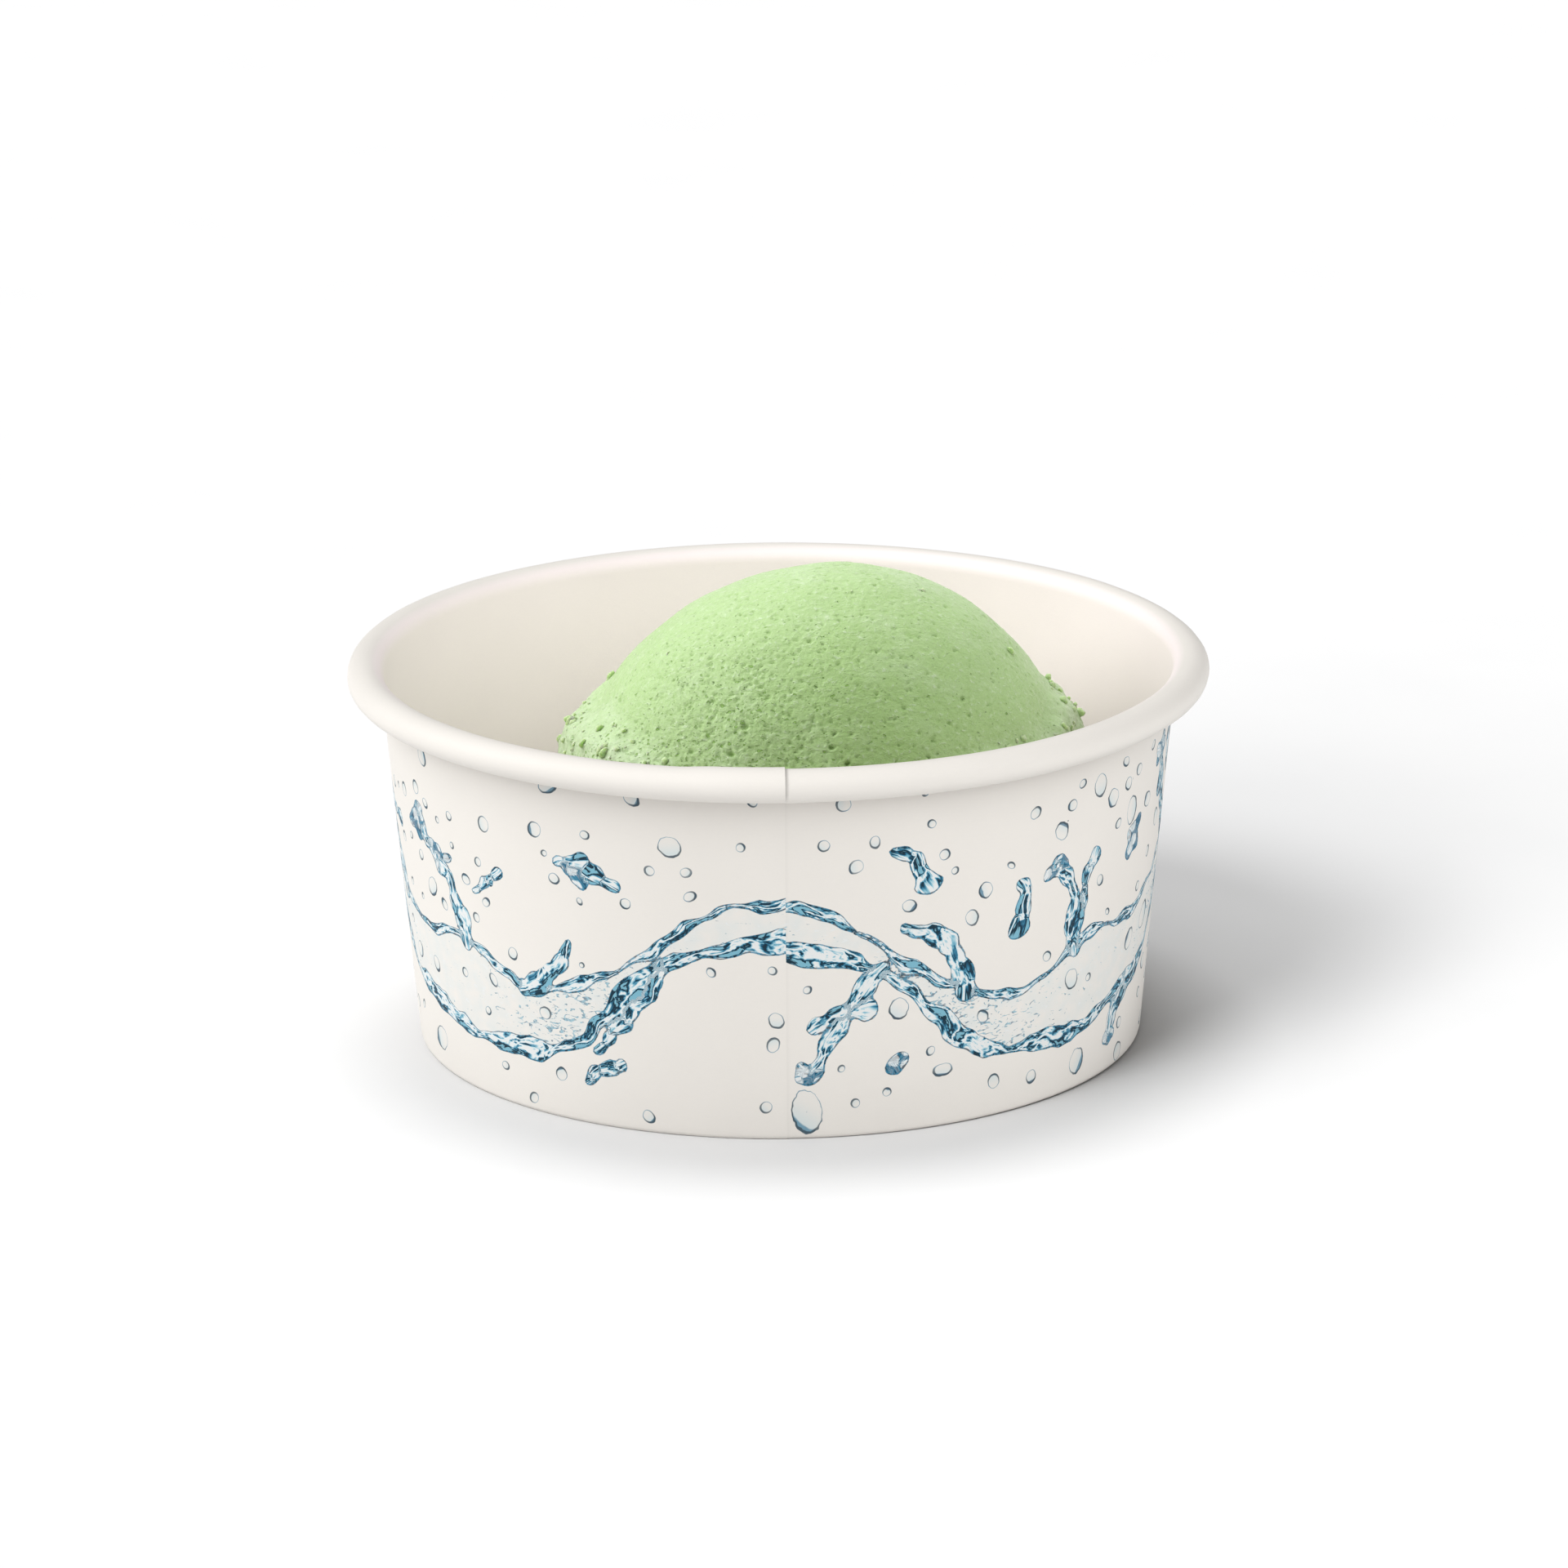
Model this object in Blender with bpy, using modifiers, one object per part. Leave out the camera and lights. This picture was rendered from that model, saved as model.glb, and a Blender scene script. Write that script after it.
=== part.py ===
# A squat paper dessert cup that holds one scoop of green sorbet.
# Metres, +Z up. The origin is the centre of the foot's underside, on the table.
# The cup's side seam faces -Y, and the scoop sits a little to the +X side.
import math

import bmesh
import bpy
from mathutils import Vector, noise

# Driving dimensions of the cup
RIM_RADIUS = 0.048
CUP_HEIGHT = 0.0434
FOOT_RADIUS = 0.04055
LIP_HEIGHT = 0.0036
LIP_OVERHANG = 0.0038
PAPER = 0.00045
FOLD_HEIGHT = 0.0049
FOLD_BEND = 0.0003
BASE_LIFT = 0.0058
BASE_BEND = 0.0006
LIP_END_ANGLE = math.radians(-128)

# Driving dimensions of the scoop
SCOOP_RADIUS = 0.0287
SCOOP_CENTRE = Vector((0.0052, 0.001, 0.0236))
SCOOP_LEAN = 0.0008
FOOT_SPREAD = 0.09
SMOOTH_LUMPS = 0.00022
ROUGH_LUMPS = 0.00030
LUMP_SIZE = 0.0065
BULGE_HEIGHT = 0.00030
BULGE_SIZE = 0.016

# The ragged collar that the scoop's edge left, strongest at the two sides
COLLAR_TOP = 0.0386
COLLAR_FULL = 0.0340
COLLAR_LOW = 0.0300
COLLAR_END = 0.0200
COLLAR_DEPTH = 0.0017
COLLAR_DIP = 0.0030
COLLAR_FADE = 0.55
COLLAR_UNEVEN = 0.7
UNEVEN_SIZE = 0.011
COLLAR_RAGGED = 0.0016
RAGGED_SIZE = 0.007
CRUMB_SIZE = 0.0030
CRUMB_HEIGHT = 0.0011
CRUMB_START = 0.0012
CRUMB_FULL = 0.0008
CRUMB_SHARE = 0.1

# Clearance between pieces that touch
GAP = 0.0003

# Fineness
TURN_STEPS = 64
LIP_STEPS = 12
BEND_STEPS = 2
SCOOP_SUBDIVISIONS = 5
FINE_BAND = (0.0300, 0.0400)

# Worked out from the driving dimensions
WALL_SLOPE = (RIM_RADIUS - LIP_OVERHANG - FOOT_RADIUS) / (CUP_HEIGHT - LIP_HEIGHT)
FLANGE_SET = PAPER + GAP
SCOOP_FLOOR = BASE_LIFT + PAPER / 2 + GAP


def clear_scene():
    for item in list(bpy.data.objects):
        bpy.data.objects.remove(item, do_unlink=True)


def new_collection(name):
    collection = bpy.data.collections.new(name)
    bpy.context.scene.collection.children.link(collection)
    return collection


def plain_material(name, colour, roughness):
    material = bpy.data.materials.new(name)
    material.use_nodes = True
    shader = material.node_tree.nodes["Principled BSDF"]
    shader.inputs["Base Color"].default_value = (*colour, 1.0)
    shader.inputs["Roughness"].default_value = roughness
    shader.inputs["Metallic"].default_value = 0.0
    return material


def paper_material():
    return plain_material("coated_paper", (0.90, 0.885, 0.85), 0.45)


def sorbet_material():
    return plain_material("green_sorbet", (0.50, 0.73, 0.29), 0.6)


def arc(centre_x, centre_z, radius_x, radius_z, start, end, steps):
    """Points along a round or elliptical bend in the XZ plane."""
    points = []
    for step in range(steps + 1):
        angle = start + (end - start) * step / steps
        points.append((centre_x + radius_x * math.cos(angle), centre_z + radius_z * math.sin(angle)))
    return points


def wall_line(height):
    """Radius of the middle of the side wall's paper at a height."""
    return FOOT_RADIUS - PAPER / 2 + WALL_SLOPE * height


def turned_sheet(name, path, material, collection):
    """A sheet of paper whose middle follows a path turned about Z."""
    mesh = bpy.data.meshes.new(name)
    profile = bmesh.new()
    corners = [profile.verts.new((x, 0.0, z)) for x, z in path]
    for first, second in zip(corners, corners[1:]):
        profile.edges.new((first, second))
    profile.to_mesh(mesh)
    profile.free()
    sheet = bpy.data.objects.new(name, mesh)
    collection.objects.link(sheet)
    mesh.materials.append(material)
    turn = sheet.modifiers.new("Turn", "SCREW")
    turn.axis = "Z"
    turn.angle = math.tau
    turn.steps = TURN_STEPS
    turn.render_steps = TURN_STEPS
    turn.use_merge_vertices = True
    turn.merge_threshold = 0.00001
    turn.use_smooth_shade = True
    thickness = sheet.modifiers.new("Paper", "SOLIDIFY")
    thickness.thickness = PAPER
    thickness.offset = 0.0
    thickness.use_even_offset = True
    return sheet


def make_cup_wall(material, collection):
    """The side wall: folded in at the foot, rolled outwards at the lip."""
    foot_level = PAPER / 2
    bend_level = foot_level + FOLD_BEND
    outer_foot = wall_line(bend_level)
    inner_foot = outer_foot - 2 * FLANGE_SET
    fold_top = wall_line(FOLD_HEIGHT) - 2 * FLANGE_SET
    lip_level = CUP_HEIGHT - LIP_HEIGHT / 2
    lip_inner = wall_line(lip_level)
    lip_outer = RIM_RADIUS - PAPER / 2
    path = [(fold_top, FOLD_HEIGHT)]
    path += arc(inner_foot + FOLD_BEND, bend_level, FOLD_BEND, FOLD_BEND,
                math.pi, 1.5 * math.pi, BEND_STEPS)
    path += arc(outer_foot - FOLD_BEND, bend_level, FOLD_BEND, FOLD_BEND,
                -0.5 * math.pi, 0.0, BEND_STEPS)
    path += arc((lip_inner + lip_outer) / 2, lip_level, (lip_outer - lip_inner) / 2,
                (LIP_HEIGHT - PAPER) / 2, math.pi, LIP_END_ANGLE, LIP_STEPS)
    return turned_sheet("cup_wall", path, material, collection)


def make_cup_base(material, collection):
    """The bottom: a disc whose edge is turned down into the wall's folded foot."""
    flange_top = BASE_LIFT - BASE_BEND
    flange_low = PAPER + GAP
    flange_radius = wall_line(flange_top) - FLANGE_SET
    path = [(0.0, BASE_LIFT)]
    path += arc(flange_radius - BASE_BEND, flange_top, BASE_BEND, BASE_BEND,
                0.5 * math.pi, 0.0, BEND_STEPS)
    path.append((wall_line(flange_low) - FLANGE_SET, flange_low))
    return turned_sheet("cup_base", path, material, collection)


def ease(low, high, value):
    """A smooth step from 0 at low to 1 at high."""
    share = min(max((value - low) / (high - low), 0.0), 1.0)
    return share * share * (3 - 2 * share)


def lumps(place, size, seed):
    """Smooth noise from about -1 to 1 whose lumps are about size across."""
    return noise.noise(place / size + Vector((seed, seed * 0.37, -seed)))


def collar_swell(place, height):
    """How far the collar stands out at a place: it is lower and weaker in front and behind."""
    beside = place.x ** 2 / (place.x ** 2 + place.y ** 2 + 1e-9)
    level = height + COLLAR_DIP * (1 - beside) - COLLAR_RAGGED * lumps(place, RAGGED_SIZE, 3.1)
    depth = COLLAR_DEPTH * (1 - COLLAR_FADE * (1 - beside))
    depth *= 1 + COLLAR_UNEVEN * lumps(place, UNEVEN_SIZE, 6.4)
    swell = ease(COLLAR_TOP, COLLAR_FULL, level) * ease(COLLAR_END, COLLAR_LOW, height)
    crumbs = max(lumps(place, CRUMB_SIZE, 8.7) - CRUMB_SHARE, 0.0)
    edge = ease(COLLAR_TOP + CRUMB_START, COLLAR_TOP - CRUMB_FULL, level) * math.sqrt(swell)
    return depth * swell + CRUMB_HEIGHT * edge * crumbs


def sorbet_point(direction):
    """The scoop's surface, seen from its centre in a direction."""
    ball = SCOOP_RADIUS * (1 + FOOT_SPREAD * min(direction.z, 0.0) ** 2)
    place = direction * ball
    height = SCOOP_CENTRE.z + place.z
    ball += collar_swell(place, height)
    roughness = SMOOTH_LUMPS + ROUGH_LUMPS * ease(COLLAR_TOP, COLLAR_FULL, height)
    ball += roughness * lumps(place, LUMP_SIZE, 5.3) + BULGE_HEIGHT * lumps(place, BULGE_SIZE, 1.9)
    if direction.z < 0:
        ball = min(ball, (SCOOP_CENTRE.z - SCOOP_FLOOR) / -direction.z)
    point = SCOOP_CENTRE + direction * ball
    point.x += SCOOP_LEAN * direction.z
    return point


def refine_collar(ball):
    """Halve the edges of a unit ball where the collar's crumbs need smaller faces."""
    low, high = ((height - SCOOP_CENTRE.z) / SCOOP_RADIUS for height in FINE_BAND)
    band = [edge for edge in ball.edges if all(low < vertex.co.z < high for vertex in edge.verts)]
    bmesh.ops.subdivide_edges(ball, edges=band, cuts=1, use_grid_fill=True)
    bmesh.ops.triangulate(ball, faces=ball.faces[:])


def flatten_underside(ball):
    """Make one flat face of those that lie on the cup's bottom."""
    lowest = [face for face in ball.faces
              if all(abs(vertex.co.z - SCOOP_FLOOR) < 1e-7 for vertex in face.verts)]
    bmesh.ops.dissolve_faces(ball, faces=lowest, use_verts=False)


def make_sorbet(material, collection):
    """One ball of sorbet, flat below where it lies on the cup's bottom."""
    mesh = bpy.data.meshes.new("sorbet_scoop")
    ball = bmesh.new()
    bmesh.ops.create_icosphere(ball, subdivisions=SCOOP_SUBDIVISIONS, radius=1.0)
    refine_collar(ball)
    for vertex in ball.verts:
        vertex.co = sorbet_point(vertex.co.normalized())
    flatten_underside(ball)
    ball.to_mesh(mesh)
    ball.free()
    mesh.materials.append(material)
    mesh.shade_smooth()
    mesh.set_sharp_from_angle(angle=math.radians(50))
    scoop = bpy.data.objects.new("sorbet_scoop", mesh)
    collection.objects.link(scoop)
    return scoop


def main():
    clear_scene()
    cup = new_collection("sorbet_cup")
    paper = paper_material()
    make_cup_wall(paper, cup)
    make_cup_base(paper, cup)
    make_sorbet(sorbet_material(), cup)


main()
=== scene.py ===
import math
import bmesh
import bpy
import numpy as np
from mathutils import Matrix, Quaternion, Vector, noise


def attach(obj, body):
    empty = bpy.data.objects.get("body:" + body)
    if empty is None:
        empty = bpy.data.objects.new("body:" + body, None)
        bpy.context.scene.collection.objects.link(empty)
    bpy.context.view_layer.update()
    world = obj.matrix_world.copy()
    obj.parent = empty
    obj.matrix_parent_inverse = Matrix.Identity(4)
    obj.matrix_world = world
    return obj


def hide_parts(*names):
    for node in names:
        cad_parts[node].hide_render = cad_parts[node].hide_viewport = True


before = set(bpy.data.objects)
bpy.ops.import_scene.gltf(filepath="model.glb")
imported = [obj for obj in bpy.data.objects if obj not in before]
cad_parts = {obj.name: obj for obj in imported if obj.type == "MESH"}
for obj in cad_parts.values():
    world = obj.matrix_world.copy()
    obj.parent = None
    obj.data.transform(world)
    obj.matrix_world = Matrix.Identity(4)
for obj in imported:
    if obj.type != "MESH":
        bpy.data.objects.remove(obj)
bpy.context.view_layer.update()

# The bottom of the cup is a disc of coated paper board. Its edge is turned down and held in the
# fold at the wall's foot. It is turned from its own profile, as the wall is, by one tree of
# Geometry Nodes, and both are made of the same off-white board.
RIM_RADIUS = 0.048
CUP_HEIGHT = 0.0434
FOOT_RADIUS = 0.04055
LIP_HEIGHT = 0.0036
LIP_OVERHANG = 0.0038
PAPER = 0.00045
GAP = 0.0003
BASE_LIFT = 0.0058
BASE_BEND = 0.0006
WALL_SLOPE = (RIM_RADIUS - LIP_OVERHANG - FOOT_RADIUS) / (CUP_HEIGHT - LIP_HEIGHT)
FLANGE_SET = PAPER + GAP
BASE_COLUMNS = 240
BASE_RINGS = 14
BASE_BEND_STEPS = 6
WELD = 0.000002
PAPER_COLOUR = (0.735, 0.705, 0.662, 1)
BOARD_CLOUDS = 90.0
BOARD_FIBRES = 1500.0
BOARD_RELIEF = (0.35, 0.00003)
BOARD_SHINE = {"Specular IOR Level": 0.18}
SURFACE = (("Colour", "Color"), ("Roughness", "Float"), ("Height", "Float"))


def wall_line(height):
    """Radius of the middle of the side wall's paper at a height."""
    return FOOT_RADIUS - PAPER / 2 + WALL_SLOPE * height


def bend(centre_x, centre_z, radius_x, radius_z, start, end, steps):
    """Points along a round bend in the profile's plane."""
    angles = np.linspace(start, end, steps + 1)
    return np.stack([centre_x + radius_x * np.cos(angles), centre_z + radius_z * np.sin(angles)], 1)


def straight(first, last, steps):
    """Points on a straight run, without its two ends."""
    shares = np.linspace(0, 1, steps + 1)[1:-1, None]
    return np.asarray(first) * (1 - shares) + np.asarray(last) * shares


def right_of(path):
    """Unit vectors to the right of a path in the profile's plane."""
    along = np.gradient(path, axis=0)
    along /= np.linalg.norm(along, axis=1)[:, None]
    return np.stack([along[:, 1], -along[:, 0]], 1)


def paper_side(path, side):
    """The path moved half a sheet to its right (1) or its left (-1)."""
    return path + side * PAPER / 2 * right_of(path)


def feed(node, inputs):
    """Feeds a node's inputs with values or with other sockets."""
    for socket, value in inputs.items() if isinstance(inputs, dict) else enumerate(inputs):
        if isinstance(value, bpy.types.NodeSocket):
            node.id_data.links.new(value, node.inputs[socket])
        else:
            node.inputs[socket].default_value = value


def wire(tree, kind, inputs=(), **settings):
    """Adds a node, sets it and feeds its inputs."""
    made = tree.nodes.new(kind)
    for name, value in settings.items():
        setattr(made, name, value)
    feed(made, inputs)
    return made


def maths(operation, *values):
    """One step of maths, in the tree of its first value. The helpers below work the same way."""
    return wire(values[0].id_data, "ShaderNodeMath", values, operation=operation).outputs[0]


def new_tree(name, kind, inputs, outputs):
    """A node group with named inputs and outputs, and what its inputs give."""
    tree = bpy.data.node_groups.new(name, kind)
    for way, sockets in (("INPUT", inputs), ("OUTPUT", outputs)):
        for socket, socket_kind, *value in sockets:
            made = tree.interface.new_socket(socket, in_out=way, socket_type="NodeSocket" + socket_kind)
            if value:
                made.default_value = value[0]
    return tree, wire(tree, "NodeGroupInput").outputs


def ended(tree, shape, material):
    """Ends a tree of Geometry Nodes: its shape is smooth, real and dressed in a material."""
    smooth = wire(tree, "GeometryNodeSetShadeSmooth", {0: shape.outputs[0]})
    real = wire(tree, "GeometryNodeRealizeInstances", {0: smooth.outputs[0]})
    dressed = wire(tree, "GeometryNodeSetMaterial", {0: real.outputs[0], "Material": material})
    wire(tree, "NodeGroupOutput", (dressed.outputs[0],))
    return tree


def turning_tree():
    """Geometry Nodes that turn the points of a profile about Z into a sheet of faces."""
    tree, given = new_tree("turned_paper", "GeometryNodeTree",
                           (("Profile", "Object"), ("Points", "Int"), ("Columns", "Int"),
                            ("Start Angle", "Float"), ("Paper", "Material")),
                           (("Sheet", "Geometry"),))
    across = maths("ADD", given["Columns"], 1.0)
    grid = wire(tree, "GeometryNodeMeshGrid", (1.0, 1.0, across, given["Points"]))
    profile = wire(tree, "GeometryNodeObjectInfo", {"Object": given["Profile"]})
    index = wire(tree, "GeometryNodeInputIndex").outputs[0]
    column = maths("FLOOR", maths("DIVIDE", index, given["Points"]))
    row = maths("MODULO", index, given["Points"])
    place = wire(tree, "GeometryNodeInputPosition").outputs[0]
    point = wire(tree, "GeometryNodeSampleIndex",
                 {0: profile.outputs["Geometry"], "Value": place, "Index": row},
                 data_type="FLOAT_VECTOR", domain="POINT").outputs[0]
    point = wire(tree, "ShaderNodeSeparateXYZ", (point,)).outputs
    turn = maths("DIVIDE", column, given["Columns"])
    angle = linear(turn, math.tau, given["Start Angle"])
    x, y = (times(maths(way, angle), point["X"]) for way in ("COSINE", "SINE"))
    spot = wire(tree, "ShaderNodeCombineXYZ", (x, y, point["Z"])).outputs[0]
    moved = wire(tree, "GeometryNodeSetPosition", {"Geometry": grid.outputs["Mesh"], "Position": spot})
    return ended(tree, moved, given["Paper"])


def put(name, data):
    """A new object in the scene."""
    thing = bpy.data.objects.new(name, data)
    bpy.context.scene.collection.objects.link(thing)
    return thing


def grown(holder, tree, name, **values):
    """The plain mesh that a tree of Geometry Nodes makes on an object, which is then removed."""
    modifier = holder.modifiers.new(tree.name, "NODES")
    modifier.node_group = tree
    for item in tree.interface.items_tree:
        if item.in_out == "INPUT" and item.name.replace(" ", "_") in values:
            modifier[item.identifier] = values[item.name.replace(" ", "_")]
    bpy.context.view_layer.update()
    ready = holder.evaluated_get(bpy.context.evaluated_depsgraph_get())
    mesh = bpy.data.meshes.new_from_object(ready)
    mesh.name = name
    holder.modifiers.clear()
    bpy.data.objects.remove(holder)
    return mesh


def turned_paper(name, profile, columns, start, material):
    """A mesh of one profile turned about Z: its vertices run along the profile, column by column."""
    dots = bpy.data.meshes.new("profile_points")
    dots.from_pydata([(x, 0.0, z) for x, z in profile], [], [])
    guide = put("profile_points", dots)
    blank = put("paper_blank", bpy.data.meshes.new("paper_blank"))
    mesh = grown(blank, turned_paper_tree, name, Profile=guide, Points=len(profile), Columns=columns,
                 Start_Angle=start, Paper=material)
    bpy.data.objects.remove(guide)
    return mesh


def shut_sheet(mesh, columns, points):
    """Joins the last column to the first, welds what meets and turns the faces outwards."""
    sheet = bmesh.new()
    sheet.from_mesh(mesh)
    sheet.verts.ensure_lookup_table()
    last = columns * points
    for row in range(points - 1):
        corners = [sheet.verts[last + row], sheet.verts[last + row + 1],
                   sheet.verts[row + 1], sheet.verts[row]]
        sheet.faces.new(corners).smooth = False
    bmesh.ops.remove_doubles(sheet, verts=sheet.verts[:], dist=WELD)
    bmesh.ops.recalc_face_normals(sheet, faces=sheet.faces[:])
    sheet.to_mesh(mesh)
    sheet.free()


def on_cup(name, mesh, slot, *nodes):
    """Puts a finished mesh on the cup in place of its CAD nodes."""
    piece = put(name, mesh)
    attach(piece, "root")
    if nodes:
        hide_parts(*nodes)


def times(first, second):
    return maths("MULTIPLY", first, second)


def linear(value, factor, start):
    """A start plus a value times a factor."""
    return maths("MULTIPLY_ADD", value, factor, start)


def vectors(operation, first, second):
    """Maths on two vectors, or on a vector and the number that scales it."""
    other = "Scale" if operation == "SCALE" else 1
    made = wire(first.id_data, "ShaderNodeVectorMath", {0: first, other: second}, operation=operation)
    return made.outputs[0]


def ramp(low, high, value):
    """A smooth step from 0 to 1 while the value goes from low to high."""
    return wire(value.id_data, "ShaderNodeMapRange", (value, low, high, 0.0, 1.0),
                interpolation_type="SMOOTHSTEP").outputs[0]


def mixed(share, first, second):
    """A colour between two others."""
    made = wire(share.id_data, "ShaderNodeMix", {0: share, 6: first, 7: second}, data_type="RGBA")
    return made.outputs[2]


def speckle(place, scale, detail=2.0, rough=0.5, distortion=0.0):
    """The grey value of a noise."""
    return wire(place.id_data, "ShaderNodeTexNoise",
                {"Vector": place, "Scale": scale, "Detail": detail, "Roughness": rough,
                 "Distortion": distortion}).outputs[0]


def board_group():
    """Coated paper board: faint clouds and short fibres, and a slightly uneven coating."""
    tree, given = new_tree("paper_board", "ShaderNodeTree",
                           (("Place", "Vector"), ("Colour", "Color", PAPER_COLOUR)), SURFACE)
    place = given["Place"]
    clouds = speckle(place, BOARD_CLOUDS, 3.0)
    stretched = wire(tree, "ShaderNodeMapping", {"Vector": place, "Scale": (1.0, 1.0, 2.6)}).outputs[0]
    fibres = speckle(stretched, BOARD_FIBRES, 4.0, 0.65, 1.5)
    tone = linear(fibres, 0.040, linear(clouds, 0.045, 0.958))
    wire(tree, "NodeGroupOutput", {"Colour": vectors("SCALE", given["Colour"], tone),
                                   "Roughness": linear(clouds, 0.16, 0.43),
                                   "Height": linear(clouds, 1.5, fibres)})
    return tree


def surface_material(name, group, relief, shine):
    """A material whose colour, roughness and fine relief (strength and depth) a group gives."""
    material = bpy.data.materials.new(name)
    material.use_nodes = True
    tree = material.node_tree
    place = wire(tree, "ShaderNodeTexCoord").outputs["Object"]
    surface = wire(tree, "ShaderNodeGroup", {"Place": place}, node_tree=group)
    given = surface.outputs
    bump = wire(tree, "ShaderNodeBump",
                {"Height": given["Height"], "Strength": relief[0], "Distance": relief[1]})
    shader = tree.nodes["Principled BSDF"]
    feed(shader, {"Base Color": given["Colour"], "Roughness": given["Roughness"],
                  "Normal": bump.outputs[0], **shine})
    return material, surface, shader


turned_paper_tree = turning_tree()
paper_board = board_group()
base_board = surface_material("bottom_board", paper_board, BOARD_RELIEF, BOARD_SHINE)[0]
flange_top = BASE_LIFT - BASE_BEND
flange_radius = wall_line(flange_top) - FLANGE_SET
base_path = np.concatenate([
    [(0.0, BASE_LIFT)],
    straight((0.0, BASE_LIFT), (flange_radius - BASE_BEND, BASE_LIFT), BASE_RINGS),
    bend(flange_radius - BASE_BEND, flange_top, BASE_BEND, BASE_BEND, math.pi / 2, 0.0, BASE_BEND_STEPS),
    [(wall_line(FLANGE_SET) - FLANGE_SET, FLANGE_SET)]])
upper = paper_side(base_path, -1)
lower = paper_side(base_path, 1)
upper[0, 0] = lower[0, 0] = 0.0
base_outline = np.concatenate([upper, lower[::-1]])
base_mesh = turned_paper("cup_bottom", base_outline, BASE_COLUMNS, 0.0, base_board)
shut_sheet(base_mesh, BASE_COLUMNS, len(base_outline))
on_cup("cup_bottom", base_mesh, "cup_paper", "cup_base")

# The side wall is one sheet of the same board, wrapped round and sealed where its ends overlap in
# front. Its foot is folded in under the bottom's edge, and its rim is rolled outwards into a lip.
# The outside carries a print of a winding ribbon of water, laid out on the sheet before the wrap.
FOLD_HEIGHT = 0.0049
FOLD_BEND = 0.0003
LIP_END_ANGLE = math.radians(-128)
WALL_COLUMNS = 680
WALL_ROWS = 90
LIP_ROWS = 22
SEAM_PLACE = 0.00065
SEAM_STEP = 0.000035
LIP_SEAM_STEP = 0.00018
SEAM_LAP = 0.007
SEAM_EASE = 0.004
PRINT_RADIUS = 42.4
PRINT_SEED = 23
SHEET_WAVES = ((3, 0.00010, 0.4), (7, 0.00004, 2.0), (19, 0.000012, 1.1), (43, 0.000006, 5.0))
FIRST_PRINTED = 8
FAR = 9.0
PRINT_WARPS = 14
STRAND_POINTS = 26
STRAND_SPACE = 7.0
STRAND_JOIN = 0.45
KNOT_DROPS = 5
RIBBON_HEIGHT = 19.5
RIBBON_EDGES = ((1, 0.50, 0.22, 0.55), (-1, 0.95, 0.38, 0.41))
RIBBON_POINTS = 86
RIBBON_OVER = 4.0
ARM_EVERY = 13.5
ARM_ROOM = (2.5, 38.5)
SPRAY_EVERY = 8.5
SPRAY_ROOM = (4.0, 36.5)
PRINT_SHIFT = 2.5
DROPS = 230
DROP_TRIES = 6000
DROP_ROOM = (1.2, 40.5)
DROP_ROWS = 12
# The inside's paler, pinker colour is painted light.
INSIDE_PAINTED_LIGHT = (0.888, 0.792, 0.806, 1)
# The seam's grey: the raw board edge, and painted shadow beside the step.
SEAM_EDGE_AND_SHADOW = (0.36, 0.345, 0.325, 1)
NAVY = (0.004, 0.026, 0.045, 1)
DEEP_BLUE = (0.009, 0.080, 0.150, 1)
MID_BLUE = (0.045, 0.215, 0.335, 1)
SKY_BLUE = (0.180, 0.405, 0.510, 1)
PALE_AQUA = (0.430, 0.600, 0.655, 1)
CLEAR_WHITE = (0.700, 0.715, 0.710, 1)
GLASS_BANDS = (
    (0.0, SKY_BLUE), (0.05, NAVY), (0.15, NAVY), (0.20, DEEP_BLUE), (0.25, MID_BLUE), (0.30, SKY_BLUE),
    (0.36, PALE_AQUA), (0.41, CLEAR_WHITE), (0.58, CLEAR_WHITE), (0.64, PALE_AQUA), (0.68, SKY_BLUE),
    (0.72, MID_BLUE), (0.77, DEEP_BLUE), (0.82, NAVY), (0.92, NAVY), (0.98, SKY_BLUE))
INK_STRENGTH = 0.85


def wall_path(wall_rows, lip_rows, bend_rows, fold_rows):
    """The middle of the paper from the fold's top, round the foot, up the wall and round the lip."""
    bend_level = PAPER / 2 + FOLD_BEND
    outer_foot = wall_line(bend_level)
    inner_foot = outer_foot - 2 * FLANGE_SET
    fold_top = wall_line(FOLD_HEIGHT) - 2 * FLANGE_SET
    lip_level = CUP_HEIGHT - LIP_HEIGHT / 2
    lip_inner = wall_line(lip_level)
    lip_outer = RIM_RADIUS - PAPER / 2
    inner_bend = bend(inner_foot + FOLD_BEND, bend_level, FOLD_BEND, FOLD_BEND,
                      math.pi, 1.5 * math.pi, bend_rows)
    outer_bend = bend(outer_foot - FOLD_BEND, bend_level, FOLD_BEND, FOLD_BEND,
                      -0.5 * math.pi, 0.0, bend_rows)
    roll = bend((lip_inner + lip_outer) / 2, lip_level, (lip_outer - lip_inner) / 2,
                (LIP_HEIGHT - PAPER) / 2, math.pi, LIP_END_ANGLE, lip_rows)
    return np.concatenate([
        [(fold_top, FOLD_HEIGHT)],
        straight((fold_top, FOLD_HEIGHT), inner_bend[0], fold_rows),
        inner_bend, outer_bend,
        straight(outer_bend[-1], roll[0], wall_rows),
        roll])


printed = paper_side(wall_path(WALL_ROWS, lip_rows=7, bend_rows=3, fold_rows=2), 1)
plain = paper_side(wall_path(6, LIP_ROWS, bend_rows=2, fold_rows=1), -1)
wall_outline = np.concatenate([printed, plain[::-1], printed[:1]])
wall_points = len(wall_outline)
wall_board, wall_colour, wall_shader = surface_material("printed_board", paper_board, BOARD_RELIEF,
                                                        BOARD_SHINE)
seam_turn = SEAM_PLACE / PRINT_RADIUS * 1000 - math.pi / 2
wall_mesh = turned_paper("cup_side", wall_outline, WALL_COLUMNS, seam_turn, wall_board)

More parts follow.
